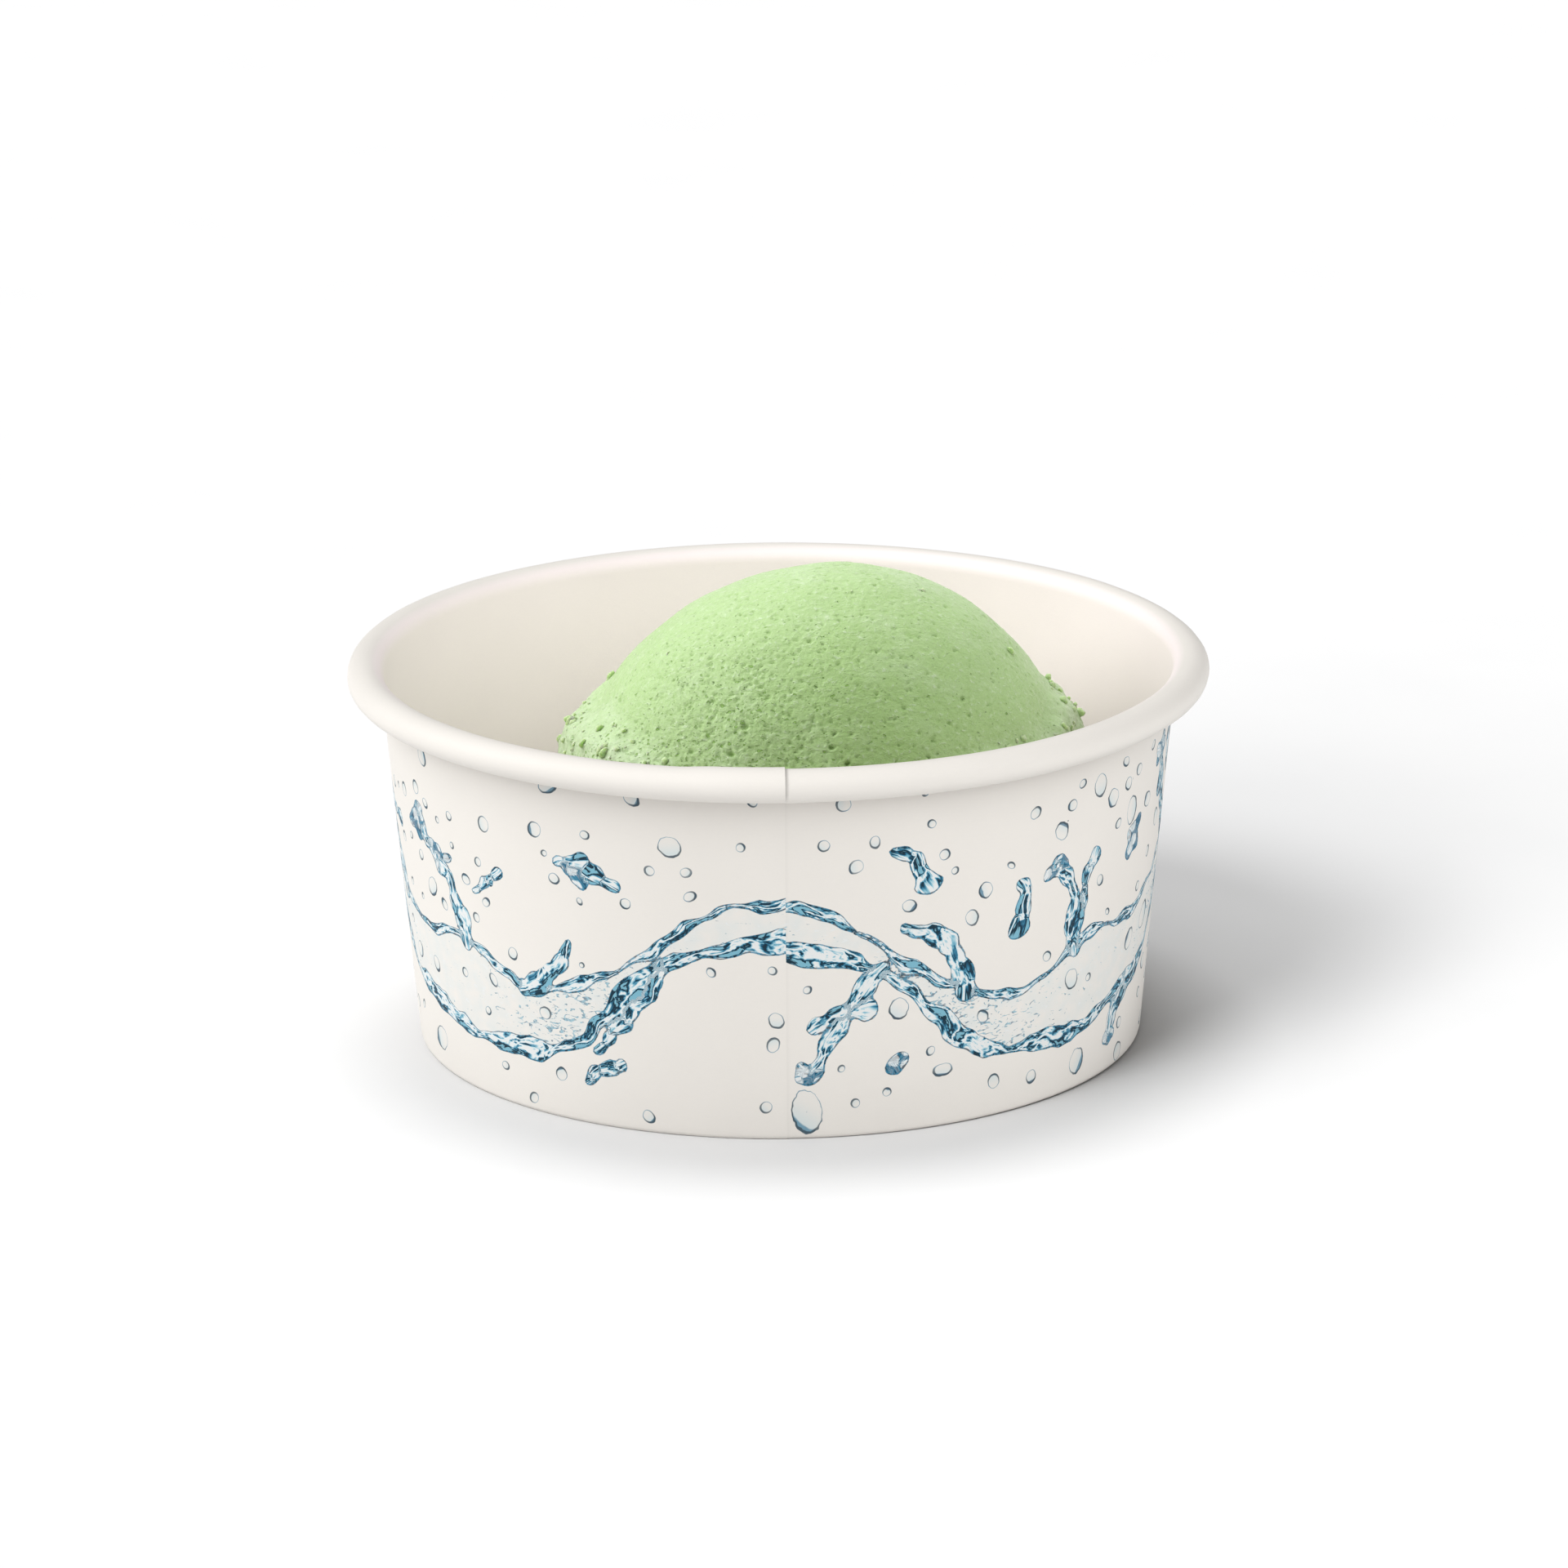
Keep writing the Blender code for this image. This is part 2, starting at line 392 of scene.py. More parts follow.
# Each point's place on the sheet in mm: across from the seam, and up from the table.
spots = np.empty(len(wall_mesh.vertices) * 3)
wall_mesh.vertices.foreach_get("co", spots)
spots = spots.reshape(WALL_COLUMNS + 1, wall_points, 3)
sheet_length = math.tau * PRINT_RADIUS
across = np.linspace(0, sheet_length, WALL_COLUMNS + 1)[:, None] + np.zeros(wall_points)
height = spots[:, :, 2] * 1000


def ease(low, high, value):
    """The same smooth step for numbers and arrays."""
    share = np.clip((value - low) / (high - low), 0, 1)
    return share * share * (3 - 2 * share)


# The lapped end lies on top to the left of the seam in front, and inside the cup the other end's
# edge stands out a little further left. The wall is also slightly out of round.
outward = right_of(wall_outline)
side_of_row = np.concatenate([np.ones(len(printed)), np.zeros(len(plain)), [1]])
lap = 1 - ease(SEAM_LAP * 1000, (SEAM_LAP + SEAM_EASE) * 1000, sheet_length - across)
on_lip = ease(CUP_HEIGHT * 1000 - LIP_HEIGHT * 1000, CUP_HEIGHT * 1000 - LIP_HEIGHT * 600, height)
lift = lap * (SEAM_STEP * side_of_row + on_lip * (1 - side_of_row) * LIP_SEAM_STEP)
lift += (1 - side_of_row) * (1 - on_lip) * SEAM_STEP * (1 - ease(0, SEAM_EASE * 1000, across))
waves = np.zeros_like(across)
for turns, size, shift in SHEET_WAVES:
    waves += size * np.sin(across / PRINT_RADIUS * turns + shift + height * 0.05)
waves *= ease(6, 40, height)
turn = across / PRINT_RADIUS + seam_turn
radial = np.hypot(spots[:, :, 0], spots[:, :, 1]) + lift * outward[:, 0] + waves
spots = np.stack([radial * np.cos(turn), radial * np.sin(turn),
                  spots[:, :, 2] + lift * outward[:, 1]], 2)
wall_mesh.vertices.foreach_set("co", spots.ravel())

# The print is laid out on the sheet by rule: strands and drops grow from seeded draws, and what
# shows on each point of the paper is kept with it as distances and directions in mm. It wavers
# throughout, and nothing is kept further than FAR from it.
draw = np.random.default_rng(PRINT_SEED)
face_rows = len(printed)
sheet_x = across[:, :face_rows]
left_part = sheet_x > sheet_length / 2
sheet_x = np.where(left_part, sheet_x - sheet_length, sheet_x)
sheet_y = height[:, :face_rows]
warp_x = np.zeros_like(sheet_x)
warp_y = np.zeros_like(sheet_x)
for _ in range(PRINT_WARPS):
    way = draw.uniform(0, math.tau)
    size = draw.uniform(2.2, 7.0)
    phase = (sheet_x * math.cos(way) + sheet_y * math.sin(way)) * math.tau / size + draw.uniform(0, 6)
    warp_x += np.sin(phase) * size * 0.012
    warp_y += np.cos(phase * 1.07) * size * 0.012
print_x = sheet_x + warp_x
print_y = sheet_y + warp_y

flow = {"edge": np.full_like(print_x, FAR), "near": np.full_like(print_x, FAR)}
for part in ("along", "beside", "busy"):
    flow[part] = np.zeros_like(print_x)
strand_start = 0.0


def from_place(x):
    """How far each point lies across the sheet from a place, the shorter way round."""
    return (x + sheet_length / 2) % sheet_length - sheet_length / 2


def strand(points, widths, busy, keep_in=None):
    """Lays a strand of water through points, with its half width at each, into the flow."""
    global strand_start
    points = np.asarray(points, float)
    nearest = np.full_like(print_x, FAR)
    along = np.zeros_like(print_x)
    beside = np.zeros_like(print_x)
    for first, second, wide, narrow in zip(points, points[1:], widths, widths[1:]):
        step_x, step_y = second - first
        length = math.hypot(step_x, step_y)
        off_x = from_place(print_x - first[0])
        off_y = print_y - first[1]
        share = np.clip((off_x * step_x + off_y * step_y) / length ** 2, 0, 1)
        width = wide + (narrow - wide) * share
        gone_x = off_x - share * step_x
        gone_y = off_y - share * step_y
        away = np.hypot(gone_x, gone_y) - width
        closer = away < nearest
        nearest = np.where(closer, away, nearest)
        along = np.where(closer, strand_start + share * length, along)
        beside = np.where(closer, (step_x * gone_y - step_y * gone_x) / length / width, beside)
        strand_start += length
    strand_start += STRAND_SPACE
    if keep_in is not None:
        nearest = np.where(keep_in, nearest, FAR)
    better = nearest < flow["near"]
    flow["near"] = np.minimum(nearest, flow["near"])
    for part, value in (("along", along), ("beside", beside), ("busy", busy)):
        flow[part] = np.where(better, value, flow[part])
    gap = np.clip(0.5 + (flow["edge"] - nearest) / STRAND_JOIN / 2, 0, 1)
    flow["edge"] = flow["edge"] * (1 - gap) + nearest * gap - STRAND_JOIN * gap * (1 - gap)


def beaded(start, end, bow, first, last, busy):
    """A bowed strand that wavers, and swells and narrows as it goes, as poured water does."""
    start, end = np.asarray(start, float), np.asarray(end, float)
    shares = np.linspace(0, 1, STRAND_POINTS)[:, None]
    chord = end - start
    side = np.array([-chord[1], chord[0]])
    line = start + chord * shares + side * bow * 4 * shares * (1 - shares)
    waver = np.sin(shares * draw.uniform(9, 15) + draw.uniform(0, 6)) * 0.02
    line = line + side * waver * np.sin(shares * math.pi)
    shares = shares[:, 0]
    swell = 1 + 0.20 * np.sin(shares * 2 * math.tau + draw.uniform(0, 6))
    swell += 0.12 * np.sin(shares * 5.4 * math.tau + draw.uniform(0, 6))
    strand(line, (first + (last - first) * shares ** 0.8) * swell, busy)


def bubble_knot(centre, reach):
    """A knot of drops that have run into one another."""
    for _ in range(KNOT_DROPS):
        way = draw.uniform(0, math.tau)
        out = reach * draw.uniform(0.1, 0.75)
        size = reach * draw.uniform(0.28, 0.52)
        x = centre[0] + out * math.cos(way) * 1.15
        y = centre[1] + out * math.sin(way) * 0.85
        strand([(x, y), (x + size * 0.4 * math.cos(way), y + size * 0.4 * math.sin(way))],
               [size, size * 0.9], 0.8)


def drop_chain(start, way, count, size):
    """Drops in a row, each touching the last, of falling size."""
    x, y = start
    for _ in range(count):
        radius = size * draw.uniform(0.7, 1.15)
        turn_x, turn_y = math.cos(way), math.sin(way)
        strand([(x, y), (x + radius * 0.7 * turn_x, y + radius * 0.7 * turn_y)],
               [radius, radius * draw.uniform(0.75, 1.0)], 0.25)
        x += turn_x * radius * draw.uniform(1.9, 2.5)
        y += turn_y * radius * draw.uniform(1.9, 2.5)
        way += draw.uniform(-0.5, 0.5)
        size *= draw.uniform(0.78, 1.02)


# A ribbon of water winds round the cup: two strands with a thin film between them. It doesn't meet
# itself at the seam, as such prints don't. Arms, knots and rows of drops leave it above and below.
# Each edge strand has its side, its half width, how far that swings and how fast.
running = print_x + left_part * sheet_length


def ribbon_middle(x):
    """Height of the ribbon's middle at a place across the sheet."""
    return RIBBON_HEIGHT + 8.5 * np.sin(x / 97.0 * math.tau + 2.5) + 1.5 * np.sin(x / 31.0 * math.tau)


def ribbon_reach(x):
    """Half the ribbon's width at a place across the sheet."""
    return 3.3 + 1.7 * np.sin(x / 61.0 * math.tau + 3.6) + 0.5 * np.sin(x / 17.0 * math.tau)


for side, wide, swing, pace in RIBBON_EDGES:
    for first, last, half in ((-RIBBON_OVER, sheet_length / 2, ~left_part),
                              (sheet_length / 2, sheet_length + RIBBON_OVER, left_part)):
        steps = np.linspace(first, last, RIBBON_POINTS)
        line = np.stack([steps, ribbon_middle(steps) + side * ribbon_reach(steps)], 1)
        widths = wide + swing * np.sin(steps * pace) + 0.5 * swing * np.sin(steps * pace * 2.6 + 1)
        strand(line, widths, 0.3, half)
film = ribbon_reach(running) - np.abs(print_y - ribbon_middle(running))
film_specks = np.exp(-((running % 44.0 - 22.0) / 10.0) ** 2) * (film > 0)
for place in np.arange(8.0, sheet_length - 6.0, ARM_EVERY):
    place += draw.uniform(-PRINT_SHIFT, PRINT_SHIFT)
    side = 1 if ribbon_middle(place) < RIBBON_HEIGHT else -1
    if draw.random() < 0.3:
        side = -side
    root = ribbon_middle(place) + side * ribbon_reach(place)
    room = ARM_ROOM[1] - root if side > 0 else root - ARM_ROOM[0]
    if room < 4.0:
        continue
    rise = side * min(room * 0.75, draw.uniform(6.0, 13.0))
    lean = draw.uniform(3.0, 9.0) * (1 if draw.random() < 0.5 else -1)
    tip = (place + lean, root + rise)
    bow, wide, narrow = draw.uniform(-0.2, 0.2), draw.uniform(1.1, 1.7), draw.uniform(0.6, 0.9)
    beaded((place, root), tip, bow, wide, narrow, 0.3)
    kind = draw.integers(3)
    if kind == 0:
        bubble_knot(tip, draw.uniform(1.6, 2.3))
    elif kind == 1:
        drop_chain(tip, math.atan2(rise, lean), 3, 1.0)
for place in np.arange(3.0, sheet_length - 3.0, SPRAY_EVERY):
    place += draw.uniform(-PRINT_SHIFT, PRINT_SHIFT)
    for side in (1, -1):
        away = ribbon_middle(place) + side * (ribbon_reach(place) + draw.uniform(6.0, 14.0))
        if not SPRAY_ROOM[0] < away < SPRAY_ROOM[1] or draw.random() < 0.15:
            continue
        kind = draw.integers(3)
        if kind == 0:
            bubble_knot((place, away), draw.uniform(1.5, 2.6))
        elif kind == 1:
            drop_chain((place, away), draw.uniform(0, math.tau), 4, draw.uniform(0.8, 1.4))
        else:
            way = draw.uniform(0, math.tau)
            tip = (place + 6 * math.cos(way), away + 5 * math.sin(way))
            beaded((place, away), tip, 0.1, 0.7, 1.2, 0.4)

# Single drops keep clear of the flow and of one another. The paper near a drop holds its place
# in that drop, in radii, so that its thin outline stays sharp.
drops = []
edge_at = flow["edge"]
for _ in range(DROP_TRIES):
    if len(drops) >= DROPS:
        break
    radius = min(0.34 + draw.gamma(1.6, 0.24), 1.7)
    x = draw.uniform(-sheet_length / 2, sheet_length / 2)
    y = draw.uniform(*DROP_ROOM)
    column = int(round((x % sheet_length) / sheet_length * WALL_COLUMNS))
    row = int(np.abs(sheet_y[column] - y)[DROP_ROWS:].argmin()) + DROP_ROWS
    if edge_at[column, row] < radius * 1.25 + 0.5:
        continue
    if draw.random() > 0.06 + 0.94 * math.exp(-edge_at[column, row] / 3.0):
        continue
    stretch = 1 + abs(draw.normal(0, 0.22))
    if any(math.hypot(x - other[0], y - other[1]) < radius * stretch + other[2] * other[3] + 0.9
           for other in drops):
        continue
    drops.append((x, y, radius, stretch, draw.uniform(0, math.pi), draw.uniform(0, math.tau),
                  draw.random(), draw.random()))
drop_near = np.full_like(sheet_x, FAR)
drop_parts = [np.full_like(sheet_x, value) for value in (FAR, FAR, FAR, 0.0, 0.0, 0.0)]
for x, y, radius, stretch, tilt, cap_way, cap, strength in drops:
    off_x = from_place(sheet_x - x)
    off_y = sheet_y - y
    long_way = (off_x * math.cos(tilt) + off_y * math.sin(tilt)) / (radius * stretch)
    short_way = (off_y * math.cos(tilt) - off_x * math.sin(tilt)) / radius
    away = (np.hypot(long_way, short_way) - 1) * radius
    closer = away < drop_near
    drop_near = np.where(closer, away, drop_near)
    parts = (long_way * math.cos(cap_way) + short_way * math.sin(cap_way),
             short_way * math.cos(cap_way) - long_way * math.sin(cap_way),
             radius, cap, strength, 0.0)
    drop_parts = [np.where(closer, new, old) for new, old in zip(parts, drop_parts)]


def keep(mesh, name, values, kind="FLOAT", part="value"):
    """Keeps a number, or else a vector, with each point of a mesh."""
    kept = mesh.attributes.new(name, kind, "POINT")
    kept.data.foreach_set(part, values.astype(np.float32).ravel())


slope_x = np.gradient(flow["edge"], axis=0) / (sheet_length / WALL_COLUMNS)
slope_y = np.gradient(flow["edge"], axis=1) / np.maximum(np.gradient(sheet_y, axis=1), 0.05)
print_sets = {
    "flow_shape": (np.clip(flow["edge"], -4, 4), np.clip(slope_x, -1, 1), np.clip(slope_y, -1, 1)),
    "flow_grain": (flow["along"], flow["beside"], flow["busy"]),
    "drop_shape": drop_parts[:3],
    "drop_kind": drop_parts[3:],
    "film_shape": (np.clip(film, -4, 9), film_specks, np.clip(drop_near, -3, 3)),
    "sheet_place": (sheet_x, sheet_y, np.zeros_like(film))}
bare = {"flow_shape": (4.0, 0.0, 0.0), "drop_shape": (FAR, FAR, 1.0), "film_shape": (-4.0, 0.0, 3.0)}
for name, values in print_sets.items():
    everywhere = np.empty((WALL_COLUMNS + 1, wall_points, 3))
    everywhere[:] = bare.get(name, 0.0)
    everywhere[:, FIRST_PRINTED:face_rows] = np.stack(values, 2)[:, FIRST_PRINTED:]
    keep(wall_mesh, name, everywhere, "FLOAT_VECTOR", "vector")
# A thin grey line runs down the seam's edge, faint on the wall and stronger on the lip: partly the raw
# cut edge of the board, partly painted shadow beside the step.
on_roll = radial > wall_line(CUP_HEIGHT) + LIP_OVERHANG * 0.25
keep(wall_mesh, "seam_shade", (across < 0.01) * (0.08 * side_of_row + 0.82 * on_lip * on_roll))
# The cup's inside, below the lip's roll, is painted lighter and a little pink: painted light that stands
# in for the light its depth takes away, and that offsets the green light the sorbet throws on it.
inside_light_end = wall_line(CUP_HEIGHT)
keep(wall_mesh, "inside_painted_light", (1 - side_of_row) * (1 - ease(inside_light_end, inside_light_end + 0.0012, radial)))
shut_sheet(wall_mesh, WALL_COLUMNS, wall_points)
wall_mesh.set_sharp_from_angle(angle=math.radians(40))


def kept(tree, name, output="Fac"):
    """What is kept with the mesh: a number, or else a vector."""
    return wire(tree, "ShaderNodeAttribute", attribute_name=name).outputs[output]


def water_print():
    """The ink of the print over the board's colour, from the distances kept with the sheet."""
    tree, given = new_tree("water_print", "ShaderNodeTree", (("Board", "Color", PAPER_COLOUR),),
                           (("Colour", "Color"), ("Ink", "Float")))
    shape, grain, round_shape, round_kind, sheet = (
        wire(tree, "ShaderNodeSeparateXYZ", (kept(tree, name, "Vector"),)).outputs
        for name in ("flow_shape", "flow_grain", "drop_shape", "drop_kind", "film_shape"))
    spot = kept(tree, "sheet_place", "Vector")
    slow = speckle(spot, 0.55, 1.0)
    fine = speckle(spot, 2.4, 2.0, 0.6, 0.6)
    colour = given["Board"]

    # The film: a faint tint, short dashes where it is dense, and a thin dark edge.
    film_mask = ramp(0.0, 0.35, sheet["X"])
    tint = times(film_mask, linear(slow, 0.45, -0.10))
    colour = mixed(tint, colour, PALE_AQUA)
    dashes = wire(tree, "ShaderNodeMapping", {"Vector": spot, "Rotation": (0, 0, -0.6),
                                              "Scale": (0.75, 1.7, 1.0)}).outputs[0]
    dash = speckle(dashes, 1.05, 2.0, 0.5, 1.5)
    limit = linear(sheet["Y"], -0.15, 0.70)
    dark_dash = times(ramp(0.0, 0.035, maths("SUBTRACT", dash, limit)), film_mask)
    dash_tone = mixed(ramp(0.35, 0.60, fine), DEEP_BLUE, SKY_BLUE)
    colour = mixed(times(dark_dash, 0.75), colour, dash_tone)
    light_dash = times(ramp(0.36, 0.30, dash), film_mask)
    colour = mixed(times(light_dash, 0.8), colour, CLEAR_WHITE)
    width = linear(slow, 0.55, -0.08)
    edge = ramp(0.10, 0.0, maths("SUBTRACT", maths("ABSOLUTE", sheet["X"]), width))
    colour = mixed(times(edge, 0.8), colour, DEEP_BLUE)

    # The strands: clear as glass inside, with bands of blue and navy that bend round the flow's form.
    body = ramp(0.05, -0.04, shape["X"])
    streaks = wire(tree, "ShaderNodeCombineXYZ",
                   (times(grain["X"], 0.30), times(grain["Y"], 0.80), 0.0)).outputs[0]
    broad = speckle(streaks, 0.9, 2.0, 0.45, 1.0)
    thin = speckle(streaks, 2.0, 3.0, 0.55, 1.4)
    light_side = linear(shape["Y"], 0.6, times(shape["Z"], -0.75))
    to_edge = ramp(-1.5, -0.05, shape["X"])
    turned = linear(times(light_side, to_edge), 0.25, 0.50)
    turned = linear(maths("SUBTRACT", thin, 0.5), 0.95, turned)
    swing = linear(ramp(-2.6, -0.6, shape["X"]), 1.55, 1.10)
    turned = linear(maths("SUBTRACT", broad, 0.5), swing, turned)
    glass = wire(tree, "ShaderNodeValToRGB", {0: turned})
    stops = glass.color_ramp.elements
    while len(stops) < len(GLASS_BANDS):
        stops.new(0.5)
    for stop, (place, tone) in zip(stops, GLASS_BANDS):
        stop.position = place
        stop.color = tone
    inner = glass.outputs["Color"]
    pebbles = vectors("ADD", spot, (0.35, 0.35, 0.35))
    pebble = wire(tree, "ShaderNodeTexVoronoi",
                  {"Vector": pebbles, "Scale": 0.68, "Randomness": 0.9}).outputs[0]
    pebble = linear(fine, 0.16, pebble)
    pebbly = ramp(0.45, 0.75, grain["Z"])
    clear = times(ramp(0.62, 0.50, pebble), pebbly)
    inner = mixed(times(clear, 0.62), inner, CLEAR_WHITE)
    ring = times(ramp(0.58, 0.66, pebble), pebbly)
    ring_tone = mixed(ramp(0.47, 0.58, thin), DEEP_BLUE, MID_BLUE)
    inner = mixed(times(ring, 0.80), inner, ring_tone)
    line_width = linear(light_side, 0.05, linear(slow, 0.34, -0.05))
    line = ramp(-0.05, 0.03, maths("ADD", shape["X"], line_width))
    line_tone = mixed(ramp(0.42, 0.56, fine), NAVY, MID_BLUE)
    inner = mixed(times(line, INK_STRENGTH), inner, line_tone)
    colour = mixed(body, colour, inner)

    # The drops: a thin outline, a blue cap on one side and nearly clear paper within.
    reach = times(round_shape["X"], round_shape["X"])
    reach = maths("SQRT", linear(round_shape["Y"], round_shape["Y"], reach))
    reach = maths("ADD", reach, linear(speckle(spot, 1.1, 1.0), 0.28, -0.14))
    away = times(maths("SUBTRACT", reach, 1.0), round_shape["Z"])
    drop = times(ramp(0.04, -0.03, away), ramp(0.40, 0.28, sheet["Z"]))
    sideways = maths("DIVIDE", round_shape["X"], maths("ADD", reach, 0.05))
    cap_room = linear(round_kind["X"], 0.7, 0.25)
    cap = ramp(1.18, 1.30, linear(sideways, cap_room, reach))
    shade = linear(ramp(-0.6, 1.0, round_shape["X"]), 0.45, 0.05)
    within = mixed(shade, given["Board"], PALE_AQUA)
    cap_tone = mixed(round_kind["Y"], DEEP_BLUE, MID_BLUE)
    within = mixed(times(cap, INK_STRENGTH), within, cap_tone)
    rim = maths("ADD", away, linear(sideways, 0.090, 0.130))
    outline = times(ramp(-0.04, 0.03, rim), ramp(-0.5, 0.25, round_kind["Y"]))
    line_tone = mixed(ramp(0.4, -1.0, sideways), NAVY, MID_BLUE)
    within = mixed(times(outline, INK_STRENGTH), within, line_tone)
    colour = mixed(times(drop, 0.95), colour, within)
    ink = maths("MAXIMUM", drop, maths("MAXIMUM", body, film_mask))
    wire(tree, "NodeGroupOutput", {"Colour": colour, "Ink": ink})
    return tree


ink_nodes = wall_board.node_tree
# The inside takes its painted-light colour here, the outside the board's own.
sides = mixed(kept(ink_nodes, "inside_painted_light"), PAPER_COLOUR, INSIDE_PAINTED_LIGHT)
# The seam's line is mixed in here: raw board edge and painted shadow.
feed(wall_colour, {"Colour": mixed(kept(ink_nodes, "seam_shade"), sides, SEAM_EDGE_AND_SHADOW)})
ink = wire(ink_nodes, "ShaderNodeGroup", {"Board": wall_colour.outputs["Colour"]},
           node_tree=water_print())
feed(wall_shader, {"Base Color": ink.outputs["Colour"]})
on_cup("cup_side", wall_mesh, "cup_paper", "cup_wall")

# The sorbet is one ball, pressed into the cup with an ice cream scoop: smooth where the bowl of
# the scoop passed over it, ragged where its edge cut through, and pitted all over by air bubbles.
# Underneath it lies flat on the cup's bottom.
SCOOP_RADIUS = 0.0287
SCOOP_CENTRE = Vector((0.0052, 0.001, 0.0236))
SCOOP_LEAN = 0.0008
SCOOP_FLOOR = BASE_LIFT + PAPER / 2 + GAP
FOOT_SPREAD = 0.09
SMOOTH_LUMPS = 0.00022
ROUGH_LUMPS = 0.00030
LUMP_SIZE = 0.0065
BULGE_HEIGHT = 0.00030
BULGE_SIZE = 0.016
COLLAR_TOP = 0.0386
COLLAR_FULL = 0.0340
COLLAR_LOW = 0.0300
COLLAR_END = 0.0200
COLLAR_DEPTH = 0.0017
COLLAR_DIP = 0.0030
COLLAR_FADE = 0.55
COLLAR_UNEVEN = 0.7
UNEVEN_SIZE = 0.011
COLLAR_RAGGED = 0.0016
RAGGED_SIZE = 0.007
CRUMB_SIZE = 0.0030
CRUMB_HEIGHT = 0.0011
CRUMB_START = 0.0012
CRUMB_FULL = 0.0008
CRUMB_SHARE = 0.1
ROUGH_FROM = (0.010, 0.016)
PITS_FROM = (0.0285, 0.0295)
TORN_FROM = (0.026, 0.032)
PAINTED_SHEEN_FROM = (0.022, 0.034)
FINE_FROM = (0.0120, 0.0288)
PIT_SEED = 41
PIT_FULL = 0.0006
# The way towards the front, where the sorbet is left darker as painted shade.
PAINTED_SHADE_WAY = (0.28, -0.76, 0.56)
AIRY_WAYS = ((-0.42, -0.76, 0.50), (0.55, 0.70, 0.45))
PITS = (
    (900, 0.00017, 0.00030, None, 0.0), (150, 0.00028, 0.00042, None, 0.0),
    (560, 0.00019, 0.00032, AIRY_WAYS[0], 0.26), (24, 0.00032, 0.00044, AIRY_WAYS[0], 0.24),
    (320, 0.00019, 0.00032, (-0.25, -0.72, 0.65), 0.26), (430, 0.00019, 0.00036, AIRY_WAYS[1], 0.30),
    (9, 0.00042, 0.00062, (0.05, -0.80, 0.58), 0.30))
SORBET_COLOUR = (0.362, 0.542, 0.204, 1)
# This darker green makes the grain's flecks, and as painted shade the air holes and the pits.
SORBET_SHADE = (0.205, 0.375, 0.070, 1)
# The pale green of frost, also used for a painted sheen.
SORBET_FROST_AND_SHEEN = (0.630, 0.745, 0.530, 1)
SORBET_RELIEF = (0.95, 0.00020)
SORBET_SHINE = {"Specular IOR Level": 0.35, "Subsurface Radius": (0.0012, 0.0016, 0.0008),
                "Subsurface Scale": 1.0, "Sheen Weight": 0.40, "Sheen Roughness": 0.34,
                "Sheen Tint": (0.92, 1.0, 0.86, 1)}


def lumps(place, size, seed):
    """Smooth noise from about -1 to 1 whose lumps are about size across."""
    return noise.noise(place / size + Vector((seed, seed * 0.37, -seed)))


def collar_swell(place, height):
    """How far the collar stands out at a place: it is lower and weaker in front and behind."""
    beside = place.x ** 2 / (place.x ** 2 + place.y ** 2 + 1e-9)
    level = height + COLLAR_DIP * (1 - beside) - COLLAR_RAGGED * lumps(place, RAGGED_SIZE, 3.1)
    depth = COLLAR_DEPTH * (1 - COLLAR_FADE * (1 - beside))
    depth *= 1 + COLLAR_UNEVEN * lumps(place, UNEVEN_SIZE, 6.4)
    swell = ease(COLLAR_TOP, COLLAR_FULL, level) * ease(COLLAR_END, COLLAR_LOW, height)
    crumbs = max(lumps(place, CRUMB_SIZE, 8.7) - CRUMB_SHARE, 0.0)
    edge = ease(COLLAR_TOP + CRUMB_START, COLLAR_TOP - CRUMB_FULL, level) * math.sqrt(swell)
    torn = ease(COLLAR_TOP + CRUMB_START, COLLAR_FULL, level)
    return depth * swell + CRUMB_HEIGHT * edge * crumbs, torn


def sorbet_reach(direction):
    """How far the scoop reaches from its centre in a direction, and how torn it is there."""
    ball = SCOOP_RADIUS * (1 + FOOT_SPREAD * min(direction.z, 0.0) ** 2)
    place = direction * ball
    height = SCOOP_CENTRE.z + place.z
    swell, torn = collar_swell(place, height)
    ball += swell
    roughness = SMOOTH_LUMPS + ROUGH_LUMPS * ease(COLLAR_TOP, COLLAR_FULL, height)
    ball += roughness * lumps(place, LUMP_SIZE, 5.3) + BULGE_HEIGHT * lumps(place, BULGE_SIZE, 1.9)
    tears = noise.noise(place / 0.0011) + 0.6 * noise.noise(place / 0.00055)
    grain = noise.noise(place / 0.00060 + Vector((7, 0, 0))) + 0.6 * noise.noise(place / 0.0013)
    return ball, torn, tears, grain


ball = bmesh.new()
bmesh.ops.create_icosphere(ball, subdivisions=6, radius=1.0)
for low in FINE_FROM:
    limit = (low - SCOOP_CENTRE.z) / SCOOP_RADIUS
    fine = [edge for edge in ball.edges if all(vertex.co.z > limit for vertex in edge.verts)]
    bmesh.ops.subdivide_edges(ball, edges=fine, cuts=1, use_grid_fill=True)
    bmesh.ops.triangulate(ball, faces=ball.faces[:])
    for vertex in ball.verts:
        vertex.co.normalize()
ways = np.array([vertex.co[:] for vertex in ball.verts])
reach, torn, tears, grain = np.array([sorbet_reach(Vector(way)) for way in ways]).T

# Burst air bubbles: many small pits, more of them low on the left, and a few large ones. Each is
# a ragged dent that is longer than high, with a faint ridge round it. Each row of pits has their
# number, their least and greatest radius, where they lie and how far they spread.
draw = np.random.default_rng(PIT_SEED)
pit_depth = np.zeros(len(ways))
pit_ridge = np.zeros(len(ways))
pits = []
for count, low, high, zone, spread in PITS:
    for _ in range(count):
        if zone is None:
            way = draw.normal(0, 1, 3)
            way[2] = abs(way[2])
        else:
            way = np.array(zone) + draw.normal(0, spread, 3)
        pits.append((way / np.linalg.norm(way), draw.uniform(low, high), draw.uniform(0.40, 0.80),
                     draw.uniform(-0.5, 0.5), draw.uniform(0.5, 1.0)))
ragged = np.clip(1 + 0.35 * tears, 0.5, 1.6)
